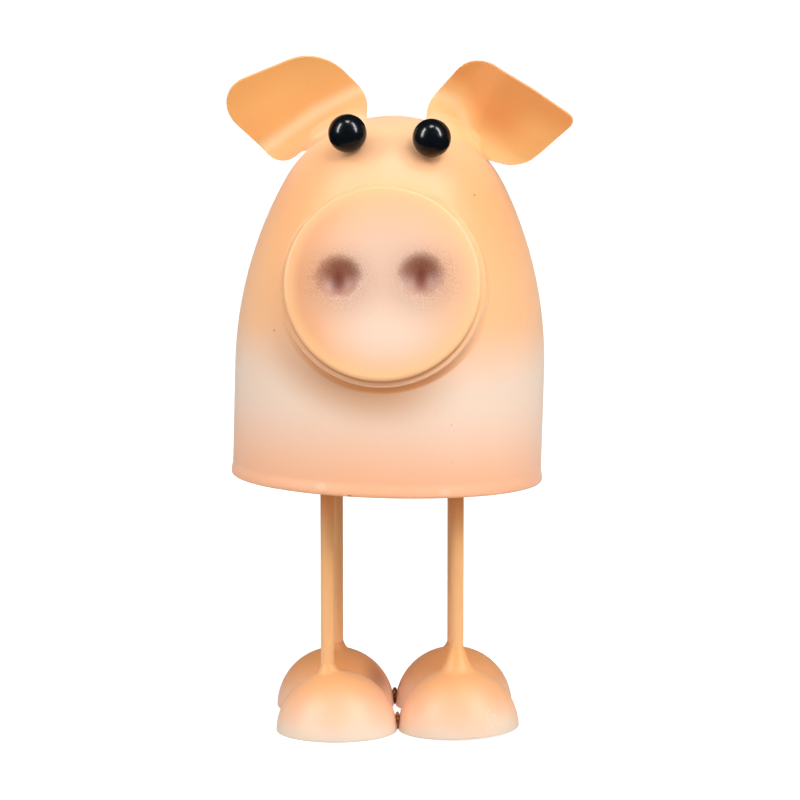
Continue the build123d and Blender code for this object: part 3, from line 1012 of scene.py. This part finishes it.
# Scuffs and specks on the bell, as (across, up, width, height)
BELL_SCUFFS = (
    (-0.0199, 0.003, 0.003, 0.0018),
    (0.0246, 0.0022, 0.0035, 0.0015),
    (-0.047, 0.014, 0.0006, 0.0004),
)
BELL_SPECKS = (
    (-0.0094, 0.0004, 0.0011, 0.0006),
    (-0.0396, 0.0575, 0.0005, 0.0005),
    (0.031, 0.108, 0.0005, 0.0005),
)


def tones():
    return bpy.context.scene.pig_tones


def new_paint(name, roughness=0.5):
    """Material with a satin shader, and its node tree."""
    paint = bpy.data.materials.new(name)
    paint.use_nodes = True
    tree = paint.node_tree
    shader = tree.nodes["Principled BSDF"]
    shader.inputs["Roughness"].default_value = roughness
    return paint, tree, shader


def fill(tree, node, **inputs):
    """Values or links for a node's inputs, named by place, as i0, or by name with _ for a space."""
    for name, value in inputs.items():
        socket = node.inputs[int(name[1:])] if name[1:].isdigit() else node.inputs[name.replace("_", " ")]
        if isinstance(value, bpy.types.NodeSocket):
            tree.links.new(value, socket)
        else:
            socket.default_value = value


def add(tree, kind, settings=None, **inputs):
    """New node with its settings and inputs."""
    node = tree.nodes.new("ShaderNode" + kind)
    for name, value in (settings or {}).items():
        setattr(node, name, value)
    fill(tree, node, **inputs)
    return node


def own_place(tree):
    """Object coordinates, the same as the scene's for modelled pieces, which stand at the origin."""
    return add(tree, "TexCoord").outputs["Object"]


def place_on(tree, pose, source=None):
    """Object coordinates turned into the frame of a pose."""
    source = own_place(tree) if source is None else source
    place, turn, _ = pose.decompose()
    turns = turn.to_euler("XYZ")
    mapping = add(tree, "Mapping", {"vector_type": "TEXTURE"}, Vector=source, Location=place, Rotation=turns)
    return mapping.outputs[0]


def part(tree, place, axis):
    """One coordinate of a place."""
    return add(tree, "SeparateXYZ", None, Vector=place).outputs[axis]


def vector_step(tree, operation, *values):
    """One step of arithmetic with vectors."""
    inputs = {f"i{place}": value for place, value in enumerate(values)}
    return add(tree, "VectorMath", {"operation": operation}, **inputs).outputs


def off_axis(tree, place):
    """Distance of a place from the Z axis."""
    flat = vector_step(tree, "MULTIPLY", place, (1, 1, 0))[0]
    return vector_step(tree, "LENGTH", flat)["Value"]


def calc(tree, operation, *values):
    """One step of arithmetic."""
    inputs = {f"i{place}": value for place, value in enumerate(values)}
    return add(tree, "Math", {"operation": operation}, **inputs).outputs[0]


def times(tree, *values):
    """Product of values."""
    product = values[0]
    for value in values[1:]:
        product = calc(tree, "MULTIPLY", product, value)
    return product


def fade(tree, value, start, finish, low=0.0, high=1.0):
    """Smooth step from low at start to high at finish."""
    smooth_step = {"interpolation_type": "SMOOTHSTEP"}
    limits = {"From_Min": start, "From_Max": finish, "To_Min": low, "To_Max": high}
    return add(tree, "MapRange", smooth_step, Value=value, **limits).outputs[0]


def between(tree, value, low, high, start=0.0):
    """A value of start to 1 laid out from low to high."""
    return add(tree, "MapRange", None, Value=value, From_Min=start, To_Min=low, To_Max=high).outputs[0]


def spot(tree, source, place, size, hard=0.0):
    """Soft spot of 1 at a place that fades to 0 at its size."""
    node = add(tree, "Mapping", {"vector_type": "TEXTURE"}, Vector=source, Location=place, Scale=size)
    return fade(tree, vector_step(tree, "LENGTH", node.outputs[0])["Value"], 1.0, hard)


def grain(tree, source, scale, detail=2.0):
    """Even noise of about 0 to 1."""
    inputs = {"Scale": scale, "Detail": detail, "Roughness": 0.5}
    return add(tree, "TexNoise", None, Vector=source, **inputs).outputs["Fac"]


def solid(value):
    """A colour as a node takes it."""
    return value if isinstance(value, bpy.types.NodeSocket) else (*value, 1)


def mix(tree, factor, first, second, how="MIX"):
    """One colour over another."""
    settings = {"data_type": "RGBA", "blend_type": how}
    return add(tree, "Mix", settings, Factor=factor, i6=solid(first), i7=solid(second)).outputs[2]


def lay(tree, base, paint, *masks):
    """A paint over a base, as much as all the masks let through."""
    return mix(tree, times(tree, *masks), base, paint)


def ramp(tree, value, stops):
    """Colours at places along a value."""
    node = add(tree, "ValToRGB", None, Fac=value)
    line = node.color_ramp
    line.interpolation = "B_SPLINE"
    while len(line.elements) > 1:
        line.elements.remove(line.elements[-1])
    line.elements[0].position = stops[0][0]
    line.elements[0].color = (*stops[0][1], 1)
    for position, shade in stops[1:]:
        line.elements.new(position).color = (*shade, 1)
    return node.outputs["Color"]


def bands(tree, source, lines, waver, start, height, stops):
    """Bands of paint up a piece from a height on, with edges that waver."""
    wobble = times(tree, grain(tree, source, lines), waver)
    level = calc(tree, "ADD", calc(tree, "SUBTRACT", part(tree, source, "Z"), start), wobble)
    return ramp(tree, calc(tree, "DIVIDE", level, height), stops)


def relief(tree, height, strength, distance):
    """Surface direction of a fine relief."""
    return add(tree, "Bump", None, Strength=strength, Distance=distance, Height=height).outputs[0]


def finish_paint(tree, shader, source, base, sheen=0.35):
    """Paint mist, clouds, rare specks, roughness and orange-peel relief on a colour."""
    mist = calc(tree, "MULTIPLY_ADD", grain(tree, source, 1900, 1.0), 0.06, 0.97)
    clouds = grain(tree, source, 55, 3.0)
    cells = add(tree, "TexVoronoi", {"feature": "F1"}, Vector=source, Scale=90).outputs["Distance"]
    shade = mix(tree, 1.0, base, mist, "MULTIPLY")
    shade = lay(tree, shade, tone("FFB57A"), clouds, 0.10)
    shade = lay(tree, shade, tone("A8663C"), fade(tree, cells, 0.035, 0.012), 0.45)
    peel, waves = grain(tree, source, 620, 3.0), grain(tree, source, 70)
    fill(
        tree,
        shader,
        Base_Color=shade,
        Roughness=between(tree, grain(tree, source, 240, 4.0), 0.42, 0.56),
        Normal=relief(tree, calc(tree, "ADD", times(tree, peel, 0.35), waves), 0.25, 0.0004),
        Sheen_Weight=sheen,
        Sheen_Roughness=0.45,
        Specular_IOR_Level=0.22,
    )


def bell_colour(tree, source):
    """Orange head, cream band and peach rim, with a pale forehead that is partly paint and partly a painted
    highlight.
    """
    paints = tones()
    # The last stop, the paler top of the head, is partly painted light from above
    stops = (
        (0.0, paints.rim),
        (0.09, paints.rose),
        (0.17, paints.pale),
        (0.25, paints.cream),
        (0.31, paints.cream),
        (0.38, paints.fading),
        (0.45, paints.side),
        (0.6, paints.side),
        (0.8, paints.head),
        (1.0, paints.top),
    )
    shade = bands(tree, source, 22, 0.006, 0.003, bell_sizes().height, stops)
    # Pale spot on the forehead: partly paint, partly a painted highlight
    forehead_and_highlight = spot(tree, source, (0.0, -0.036, 0.113), (0.029, 0.04, 0.024))
    return lay(tree, shade, paints.forehead_and_highlight, forehead_and_highlight, 0.8)


def make_bell_paint():
    """Paint of the bell and of the tube behind the snout's lid, with painted shade below the snout."""
    paint, tree, shader = new_paint("airbrushed_bell_paint")
    source = place_on(tree, bell_pose())
    face = place_on(tree, snout_pose(), source)
    away = off_axis(tree, face)
    # Painted tan shadow below the snout, strongest near the lid and towards the left
    below = fade(tree, part(tree, face, "Y"), -0.006, -0.040)
    leftward = fade(tree, part(tree, face, "X"), 0.038, 0.0)
    front = fade(tree, part(tree, face, "Z"), -0.03, -0.012)
    wide = times(tree, fade(tree, away, 0.054, 0.039), 0.85)
    near = calc(tree, "MAXIMUM", wide, fade(tree, away, 0.0415, 0.0385))
    paints = tones()
    shade = lay(tree, bell_colour(tree, source), paints.shade, below, near, leftward, front, 0.92)
    # Painted shade along the lower seam where the snout's tube meets the bell
    shade = lay(tree, shade, paints.seam, below, front, fade(tree, away, 0.0392, 0.0384))
    for marks, mark_tone, share in ((BELL_SCUFFS, paints.scuff, 0.2), (BELL_SPECKS, paints.speck_and_shade, 0.7)):
        for across, up, wide, tall in marks:
            place = (across, -sqrt(bell_radius(up) ** 2 - across**2), up)
            mark = spot(tree, source, place, (wide, 0.004, tall), 0.3)
            shade = lay(tree, shade, mark_tone, mark, share)
    finish_paint(tree, shader, source, shade)
    return paint


def dab(tree, source, nostril, shift, size, hard=0.0, height=0.003):
    """Soft spot on the lid's face, shifted from a nostril's middle."""
    place = (nostril[0] + shift[0], nostril[1] + shift[1], height)
    return spot(tree, source, place, (*size, 0.03), hard)


def make_snout_paint():
    """Peach face with a pale middle and two dark nostrils with overspray."""
    paints = tones()
    paint, tree, shader = new_paint("airbrushed_snout_paint")
    source = place_on(tree, bell_pose() @ snout_pose())
    leftward = fade(tree, part(tree, source, "X"), -0.004, -0.033)
    shade = mix(tree, leftward, paints.snout_edge, paints.snout_left)
    pale = spot(tree, source, (0.002, 0.0, 0.005), (0.036, 0.036, 0.1), 0.3)
    shade = lay(tree, shade, paints.snout_middle, pale)
    # Painted highlight: a cream spot low on the snout's face
    glow = spot(tree, source, (0.003, -0.018, 0.005), (0.028, 0.017, 0.1))
    shade = lay(tree, shade, paints.snout_low_highlight, glow, 0.9)
    mist, drops = grain(tree, source, 1500, 1.0), grain(tree, source, 2600, 0.0)
    loose = fade(tree, drops, 0.42, 0.62)
    for side, (across, up) in zip(SIDES.values(), nostril_places()):
        more = min(side, 0) * 0.0005
        nostril = (across + more, up)
        haze = dab(tree, source, nostril, (side * 0.002, -0.002), (0.023, 0.021))
        shade = lay(tree, shade, paints.overspray, haze, 0.24)
        around = dab(tree, source, nostril, ((side + 1) * 0.0008, 0), (0.0175, 0.0155))
        shade = lay(tree, shade, paints.overspray, around, loose, 0.7)
        core = dab(tree, source, nostril, (0, 0.0008), (0.0116, 0.0108), 0.32)
        grainy = fade(tree, calc(tree, "ADD", core, mist), 0.5, 1.05)
        shade = lay(tree, shade, paints.nostril, core, grainy, 0.8)
        # Painted highlights: two lighter brown lobes low in each nostril
        for lobe in (-0.0036, 0.0036):
            low = dab(tree, source, nostril, (lobe, -0.0038), (0.0040, 0.0042))
            shade = lay(tree, shade, paints.nostril_lobe_highlight, low, 0.42)
        # Darkest brown deep in each nostril: partly paint, partly painted shade
        deep = dab(tree, source, nostril, (more, -0.0006), (0.0036, 0.0060), 0.1, 0.002)
        shade = lay(tree, shade, paints.nostril_deep_and_shade, deep, 0.88)
    away, face = off_axis(tree, source), lid_face()
    # Yellow ring on the lid's rounded edge: partly paint, partly a painted highlight
    shade = lay(tree, shade, paints.snout_lip_and_highlight, fade(tree, away, face - 0.0065, face - 0.0010), 0.6)
    # Low on the lid: painted light on the brim, painted shade on the side above it
    outside = fade(tree, away, face - 0.0006, face - 0.0001)
    under = fade(tree, part(tree, source, "Y"), -0.004, -0.031)
    height = part(tree, source, "Z")
    shade = lay(tree, shade, paints.lit_snout_brim, outside, fade(tree, height, 0.0014, 0.0010), under)
    shade = lay(tree, shade, paints.snout_crease, outside, fade(tree, height, 0.0010, 0.0014), under)
    finish_paint(tree, shader, source, shade, sheen=0.1)
    return paint


def make_ear_paint(name, root, flap, low, tip):
    """Head's paint at the root, a pale line at the fold that is partly paint and partly a painted highlight,
    and a deeper orange on the flap.
    """
    paint, tree, shader = new_paint("airbrushed_ear_paint_" + name)
    source = place_on(tree, bell_pose())
    middle = vector_step(tree, "SUBTRACT", source, (0, 0, dome_centre()))[0]
    away, along = (vector_step(tree, "DOT_PRODUCT", middle, axis)["Value"] for axis in ear_axes(SIDES[name]))
    line = fade(tree, along, *EARS[name][1])
    waver = times(tree, grain(tree, source, 60), 0.0016)
    beyond = calc(tree, "ADD", calc(tree, "SUBTRACT", away, line), waver)
    base = lay(tree, bell_colour(tree, source), root, fade(tree, beyond, -0.009, -0.003))
    leaf = lay(tree, flap, low, fade(tree, along, 0.012, 0.028))
    leaf = lay(tree, leaf, tip, fade(tree, beyond, 0.012, 0.024))
    if name == "left":
        runs_out, share = 0.0075, 0.9
    else:
        runs_out, share = 0.012, times(tree, fade(tree, along, 0.012, -0.004), 0.6)
    shade = lay(tree, base, leaf, fade(tree, beyond, 0.0008, runs_out))
    # Pale line along the fold: partly paint, partly a painted highlight on the bend
    near, far = fade(tree, beyond, -0.003, 0.0004), fade(tree, beyond, 0.0046, 0.0004)
    shade = lay(tree, shade, tones().ear_line_and_highlight, near, far, share)
    finish_paint(tree, shader, source, shade)
    return paint


def make_leg_paint(name, top):
    """Orange rods that run out into another tone at the top."""
    paint, tree, shader = new_paint(name)
    source, paints = own_place(tree), tones()
    # For the legs the top tone is partly painted shade under the rim
    stops = ((0.25, paints.leg_low), (0.6, paints.leg_middle), (0.8, paints.leg_middle), (1.0, top))
    finish_paint(tree, shader, source, bands(tree, source, 60, 0.01, 0.0, 0.1, stops))
    return paint


def make_foot_paint(name, scratched, shaded_foot, *shades):
    """Orange crown that runs out into a pale cream rim, with a painted shadow on a rear foot's inner side
    when asked.
    """
    paint, tree, shader = new_paint(name)
    source = own_place(tree)
    shade = bands(tree, source, 45, 0.006, 0.003, 0.03, tuple(zip((0.0, 0.2, 0.48, 0.85), shades)))

    def beside(foot, shift, size, hard=0.0):
        """Soft spot beside a foot's middle."""
        return spot(tree, source, foot_place(foot) + Vector(shift), size, hard)

    if shaded_foot:
        # Painted shadow on the rear foot's inner side, where the front foot shades it
        inner = beside(shaded_foot, (0.0165, -0.010, 0.0125), (0.009, 0.014, 0.011))
        shade = lay(tree, shade, tones().speck_and_shade, inner, 0.6)
    if scratched:
        drawn = add(tree, "Mapping", None, Vector=source, Scale=(2600, 900, 260)).outputs[0]
        lines = fade(tree, grain(tree, drawn, 1.0), 0.56, 0.64)
        place = beside(scratched, (0.0122, -0.018, 0.0055), (0.0036, 0.012, 0.0085), 0.3)
        shade = lay(tree, shade, tones().scuff, lines, place, 0.6)
        # A paler patch low on the foot's right side
        pale_low_patch = beside(scratched, (0.017, -0.013, 0.003), (0.011, 0.014, 0.009))
        shade = lay(tree, shade, tone("EDE3C8"), pale_low_patch, 0.45)
    finish_paint(tree, shader, source, shade, sheen=0.12)
    return paint


def make_eye_gloss():
    """Black lacquer with a painted brown reflection of the head low on the ball."""
    paint, tree, shader = new_paint("black_eye_lacquer")
    source = own_place(tree)
    middle = sum(middle_of("eye_" + name).z for name in SIDES) / 2
    clouds = times(tree, grain(tree, source, 90), 0.002)
    # Painted reflection of the head: brown, low on each ball
    under = fade(tree, calc(tree, "ADD", part(tree, source, "Z"), clouds), middle - 0.0025, middle - 0.0065)
    fill(
        tree,
        shader,
        Base_Color=mix(tree, under, tones().eye, tones().eye_low_reflection),
        Roughness=between(tree, grain(tree, source, 700, 3.0), 0.17, 0.23),
        Normal=relief(tree, grain(tree, source, 260), 0.08, 0.0002),
        Specular_IOR_Level=0.16,
    )
    return paint


def make_steel():
    """Bare pressed steel with drawn lines and stains."""
    paint, tree, shader = new_paint("bare_pressed_steel")
    source = own_place(tree)
    stains = fade(tree, grain(tree, source, 60, 4.0), 0.45, 0.75)
    fill(
        tree,
        shader,
        Base_Color=mix(tree, stains, tone("B9B4AC"), tone("8A7C6C")),
        Metallic=1.0,
        Roughness=between(tree, grain(tree, source, 420, 5.0), 0.3, 0.5),
        Normal=relief(tree, grain(tree, source, 900, 3.0), 0.2, 0.0002),
    )
    return paint


def make_weld_finish():
    """Dark brown weld with a little orange overspray."""
    paint, tree, shader = new_paint("dark_weld", 0.6)
    source = own_place(tree)
    sprayed = fade(tree, grain(tree, source, 900, 4.0), 0.40, 0.56)
    shade = mix(tree, sprayed, tone("3E2416"), tone("B4703A"))
    fill(tree, shader, Base_Color=shade, Normal=relief(tree, grain(tree, source, 1100, 4.0), 0.6, 0.0004))
    return paint


# Stage

# Place, and width and height, of each soft light and of each light that is only mirrored
SOFTBOXES = {
    "front": ((0.45, -1.3, 1.15), (0.7, 0.5)),
    "left": ((-0.88, -0.3, 0.94), (0.2, 1.2)),
    "right": ((0.80, -0.56, 1.1), (0.2, 1.4)),
}
GLINTS = {
    "left": ((-0.865, -0.5, 0.79), (0.17, 0.92)),
    "right": ((0.80, -0.58, 0.94), (0.17, 1.12)),
    "top": ((0, -0.28, 1.17), (0.24, 0.14)),
}
LIGHTS_AIM = Vector((0, 0, 0.2))


def add_light(name, place, size, watts):
    """Rectangular light that looks at the figure."""
    data = bpy.data.lights.new(name, "AREA")
    data.shape = "RECTANGLE"
    data.size, data.size_y = size
    data.energy = watts
    light = bpy.data.objects.new(name, data)
    bpy.context.scene.collection.objects.link(light)
    light.location = place
    light.rotation_euler = (LIGHTS_AIM - Vector(place)).to_track_quat("-Z", "Y").to_euler()
    return light


def make_room(strength):
    """White room, a little brighter below where the paper is, hidden from mirrors."""
    world = bpy.data.worlds.new("white_room")
    world.use_nodes = True
    tree = world.node_tree
    height = part(tree, add(tree, "TexCoord").outputs["Generated"], "Z")
    level = between(tree, height, 1.12 * strength, 0.95 * strength, -1)
    fill(tree, tree.nodes["Background"], Strength=level, Color=(1, 1, 1, 1))
    world.cycles_visibility.glossy = False
    return world


def make_floor(glow):
    """White paper that shows only to the camera."""
    bpy.ops.mesh.primitive_plane_add(size=160, location=(0, 0, 0))
    floor = bpy.context.object
    floor.name = "floor"
    paper, tree, shader = new_paint("white_paper", 0.9)
    fill(
        tree,
        shader,
        Base_Color=(0.45, 0.45, 0.45, 1),
        Specular_IOR_Level=0,
        Emission_Color=(1, 1, 1, 1),
        Emission_Strength=glow,
    )
    floor.data.materials.append(paper)
    floor.visible_diffuse = floor.visible_glossy = floor.visible_shadow = False
    return floor


def make_camera(stage):
    """Camera in front of the figure, looking a little down."""
    data = bpy.data.cameras.new("photo_camera")
    data.lens, data.sensor_width = stage.lens, 36
    camera = bpy.data.objects.new("photo_camera", data)
    bpy.context.scene.collection.objects.link(camera)
    camera.location = feet_middle() + Vector((stage.across, -stage.distance, stage.height))
    camera.rotation_euler = (pi / 2 - stage.pitch, 0, 0)
    return camera


# Operators


class PIG_OT_bell(bpy.types.Operator):
    """Spin the bell with its rolled hem"""

    bl_idname = "pig.make_bell"
    bl_label = "Make Bell"

    def execute(self, context):
        hand_over(make_bell(), "body_paint", make_bell_paint(), "body_shell")
        return {"FINISHED"}


class PIG_OT_snout(bpy.types.Operator):
    """Make the snout's tube and its pressed lid with two nostrils"""

    bl_idname = "pig.make_snout"
    bl_label = "Make Snout"

    def execute(self, context):
        bell_paint = bpy.data.materials["airbrushed_bell_paint"]
        hand_over(make_snout_tube(), "body_paint", bell_paint, "snout_collar")
        hand_over(make_snout_lid(), "snout_paint", make_snout_paint(), "snout_cap")
        return {"FINISHED"}


class PIG_OT_ears(bpy.types.Operator):
    """Bend the two ears with their root welds"""

    bl_idname = "pig.make_ears"
    bl_label = "Make Ears"

    def execute(self, context):
        paints = tones()
        shades = {
            "left": (paints.ear_root, paints.ear_left, paints.ear_left, paints.ear_left_tip),
            "right": (paints.ear_pale, paints.ear_right, paints.ear_right_low, paints.ear_right),
        }
        for name in SIDES:
            paint = make_ear_paint(name, *shades[name])
            hand_over(make_ear(name), "ear_paint", paint, "ear_" + name)
        return {"FINISHED"}


class PIG_OT_eyes(bpy.types.Operator):
    """Turn the two glossy balls"""

    bl_idname = "pig.make_eyes"
    bl_label = "Make Eyes"

    def execute(self, context):
        eye, gloss = eye_sizes(), make_eye_gloss()
        places = {"left": (eye.left_across, eye.left_drop), "right": (eye.right_across, eye.right_drop)}
        for name, place in places.items():
            hand_over(make_eye("eye_ball_" + name, eye_axis(*place)), "eye_gloss", gloss, "eye_" + name)
        return {"FINISHED"}


class PIG_OT_tail(bpy.types.Operator):
    """Curl the tail's wire"""

    bl_idname = "pig.make_tail"
    bl_label = "Make Tail"

    def execute(self, context):
        hand_over(make_tail(), "leg_paint", make_leg_paint("airbrushed_tail_paint", tones().leg_low), "tail")
        return {"FINISHED"}


class PIG_OT_legs(bpy.types.Operator):
    """Make the four legs"""

    bl_idname = "pig.make_legs"
    bl_label = "Make Legs"

    def execute(self, context):
        # The legs' top tone is partly painted shade under the bell
        paint = make_leg_paint("airbrushed_leg_paint", tones().leg_top_and_shade)
        for name in FEET:
            hand_over(make_leg(name), "leg_paint", paint, "leg_" + name)
        return {"FINISHED"}


class PIG_OT_feet(bpy.types.Operator):
    """Make the four feet and the welds between them"""

    bl_idname = "pig.make_feet"
    bl_label = "Make Feet"

    def execute(self, context):
        paints, weld = tones(), make_weld_finish()
        front = (paints.foot_rim, paints.foot_low, paints.foot_middle, paints.foot_crown)
        # The rear feet take a darker copy of the foot paint: partly paint, partly painted shade
        rear = (paints.rear_low_shaded, paints.rear_low_shaded, paints.rear_crown_shaded, paints.rear_crown_shaded)
        looks = {"front_left": make_foot_paint("airbrushed_foot_paint", "", "", *front)}
        looks["front_right"] = make_foot_paint("scratched_foot_paint", "front_right", "", *front)
        looks["rear_left"] = make_foot_paint("rear_foot_paint_and_shade", "", "rear_left", *rear)
        looks["rear_right"] = looks["rear_left"]
        for name in FEET:
            hand_over(make_foot(name), "foot_paint", looks[name], "foot_" + name)
        for place in ("front", "rear", "left", "right"):
            hand_over(make_tack("foot_tack_" + place), "weld", weld, "foot_tack_" + place)
        return {"FINISHED"}


class PIG_OT_steel(bpy.types.Operator):
    """Give the pan and the eye pins their bare steel"""

    bl_idname = "pig.finish_steel"
    bl_label = "Finish Steel"

    def execute(self, context):
        steel = make_steel()
        for name in ("base_plate", "eye_pin_left", "eye_pin_right"):
            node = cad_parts[name]
            if not node.data.materials:
                node.data.materials.append(steel)
            for slot in node.material_slots:
                slot.material = steel
        return {"FINISHED"}


class PIG_OT_stage(bpy.types.Operator):
    """Set up the floor, the light and the camera"""

    bl_idname = "pig.set_stage"
    bl_label = "Set Stage"

    def execute(self, context):
        scene, stage = context.scene, context.scene.pig_stage
        deselect_all()
        floor = make_floor(stage.paper)
        scene.world = make_room(stage.world)
        powers = {"front": stage.key, "left": stage.left, "right": stage.right}
        for name, (place, size) in SOFTBOXES.items():
            add_light(name + "_softbox", place, size, powers[name]).visible_glossy = False
        for name, (place, size) in GLINTS.items():
            watts = stage.glint * pi * size[0] * size[1]
            add_light(name + "_glint", place, size, watts).visible_diffuse = False
        scene.view_settings.view_transform = "Standard"
        scene.camera = make_camera(stage)
        return {"FINISHED"}


class PIG_PT_panel(bpy.types.Panel):
    """Lists the steps in the order in which they are made, and their settings"""

    bl_idname = "PIG_PT_panel"
    bl_label = "Pig Figurine"
    bl_space_type = "VIEW_3D"
    bl_region_type = "UI"
    bl_category = "Pig Figurine"

    def draw(self, context):
        for step in STEPS:
            self.layout.operator(step.bl_idname)
        for settings, group in GROUPS.items():
            for name in group.__annotations__:
                self.layout.prop(getattr(context.scene, settings), name)


STEPS = (
    PIG_OT_bell,
    PIG_OT_snout,
    PIG_OT_ears,
    PIG_OT_eyes,
    PIG_OT_tail,
    PIG_OT_legs,
    PIG_OT_feet,
    PIG_OT_steel,
    PIG_OT_stage,
)
GROUPS = {
    "pig_bell": BellSizes,
    "pig_snout": SnoutSizes,
    "pig_ears": EarSizes,
    "pig_eyes": EyeSizes,
    "pig_legs": LegSizes,
    "pig_tones": PaintTones,
    "pig_stage": StageSettings,
}


def register():
    """Adds the settings, steps and panel."""
    for name, group in GROUPS.items():
        bpy.utils.register_class(group)
        setattr(bpy.types.Scene, name, PointerProperty(type=group))
    for step in STEPS:
        bpy.utils.register_class(step)
    bpy.utils.register_class(PIG_PT_panel)


def unregister():
    """Takes them away again."""
    bpy.utils.unregister_class(PIG_PT_panel)
    for step in reversed(STEPS):
        bpy.utils.unregister_class(step)
    for name, group in GROUPS.items():
        delattr(bpy.types.Scene, name)
        bpy.utils.unregister_class(group)


def main():
    """Makes every piece in order."""
    register()
    bpy.ops.pig.make_bell()
    bpy.ops.pig.make_snout()
    bpy.ops.pig.make_ears()
    bpy.ops.pig.make_eyes()
    bpy.ops.pig.make_tail()
    bpy.ops.pig.make_legs()
    bpy.ops.pig.make_feet()
    bpy.ops.pig.finish_steel()
    bpy.ops.pig.set_stage()


if __name__ == "__main__":
    main()
